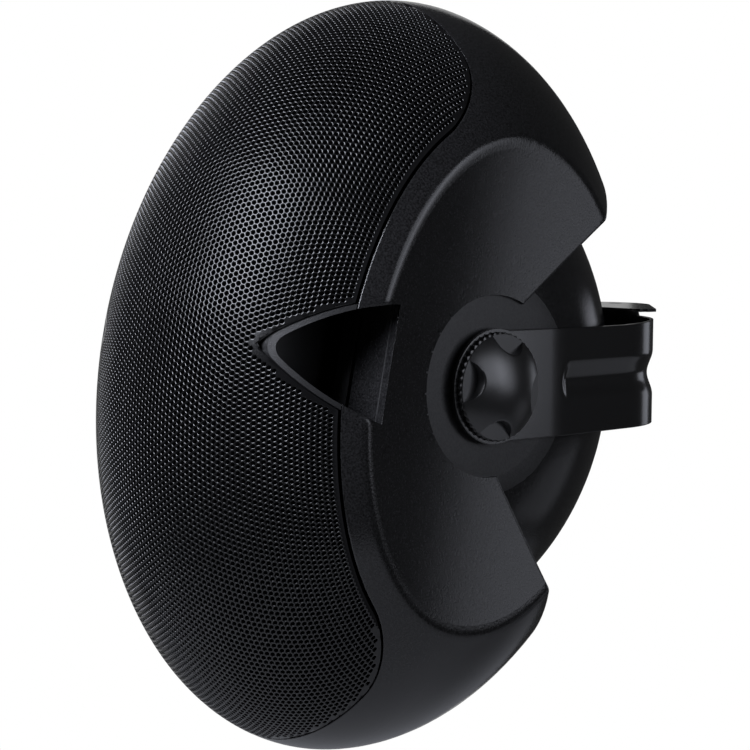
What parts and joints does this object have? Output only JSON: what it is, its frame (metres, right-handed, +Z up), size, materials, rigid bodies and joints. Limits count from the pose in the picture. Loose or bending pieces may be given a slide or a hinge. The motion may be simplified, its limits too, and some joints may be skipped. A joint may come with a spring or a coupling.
{
  "type": "outdoor wall speaker",
  "caption": "Egg-shaped outdoor loudspeaker with a curved perforated grille, side port mouths and clamp knobs, tilting in a steel U-bracket with a bolt-on lug.",
  "frame": {"origin": "centre of the hole in the bracket's lug, on the lug's top face", "axes": "+Z up along the lug's hole, +Y to the rear away from the grille, +X to the right seen from the front of the grille's camera side"},
  "size_m": [0.2082, 0.3017, 0.3366],
  "materials": {
    "bracket_steel": "black satin powder coat",
    "cabinet_plastic": "black moulded plastic with a fine grain",
    "grille_steel": "black powder-coated perforated sheet",
    "baffle_plastic": "black moulded plastic",
    "seal_rubber": "black foam rubber",
    "screw_steel": "zinc-plated steel",
    "frame_steel": "black painted pressed steel",
    "magnet_ferrite": "dark ferrite and steel",
    "cone_plastic": "black filled plastic",
    "dome_fabric": "black coated cloth",
    "lining_cloth": "black acoustic cloth",
    "board_plastic": "green circuit board",
    "coil_copper": "enamelled copper winding",
    "capacitor_plastic": "film sleeve",
    "insert_brass": "turned brass",
    "washer_rubber": "black hard rubber",
    "knob_plastic": "black moulded plastic, slightly glossier than the cabinet"
  },
  "bodies": {
    "bracket": {"u_bracket": "bracket_steel"},
    "cabinet": {"rear_cabinet": "cabinet_plastic", "front_grille": "grille_steel", "grille_lining": "lining_cloth", "front_baffle": "baffle_plastic", "baffle_seal": "seal_rubber", "baffle_screws": "screw_steel", "woofer_frame_upper": "frame_steel", "woofer_frame_lower": "frame_steel", "woofer_magnet_upper": "magnet_ferrite", "woofer_magnet_lower": "magnet_ferrite", "woofer_surround_upper": "seal_rubber", "woofer_surround_lower": "seal_rubber", "tweeter_waveguide": "baffle_plastic", "tweeter_magnet": "magnet_ferrite", "crossover_board": "board_plastic", "crossover_coil": "coil_copper", "crossover_capacitors": "capacitor_plastic", "terminal_cup": "baffle_plastic", "terminal_block": "baffle_plastic", "terminal_screws": "screw_steel", "thread_insert_right": "insert_brass", "thread_insert_left": "insert_brass", "friction_washer_right": "washer_rubber", "friction_washer_left": "washer_rubber"},
    "knob_right": {"clamp_knob_right": "knob_plastic", "clamp_stud_right": "screw_steel"},
    "knob_left": {"clamp_knob_left": "knob_plastic", "clamp_stud_left": "screw_steel"},
    "cone_upper": {"woofer_cone_upper": "cone_plastic"},
    "cone_lower": {"woofer_cone_lower": "cone_plastic"},
    "dome": {"tweeter_dome": "dome_fabric"}
  },
  "joints": [
    {"name": "cabinet_tilt", "type": "hinge", "parent": "bracket", "child": "cabinet", "pos_m": [0, -0.173, -0.0278], "axis": [1, 0, 0], "range_deg": [-23.6, 46.4]},
    {"name": "knob_right_turn", "type": "hinge", "parent": "cabinet", "child": "knob_right", "pos_m": [0.0976, -0.173, -0.0278], "axis": [1, 0, 0], "continuous": true},
    {"name": "knob_left_turn", "type": "hinge", "parent": "cabinet", "child": "knob_left", "pos_m": [-0.0976, -0.173, -0.0278], "axis": [-1, 0, 0], "continuous": true},
    {"name": "woofer_upper_travel", "type": "slide", "parent": "cabinet", "child": "cone_upper", "axis": [0, -0.9803, 0.1977], "range_m": [-0.0035, 0.0035], "stiffness_N_per_m": 1500},
    {"name": "woofer_lower_travel", "type": "slide", "parent": "cabinet", "child": "cone_lower", "axis": [0, -0.9803, 0.1977], "range_m": [-0.0035, 0.0035], "stiffness_N_per_m": 1500},
    {"name": "tweeter_travel", "type": "slide", "parent": "cabinet", "child": "dome", "axis": [0, -0.9803, 0.1977], "range_m": [-0.0003, 0.0003], "stiffness_N_per_m": 3000}
  ]
}
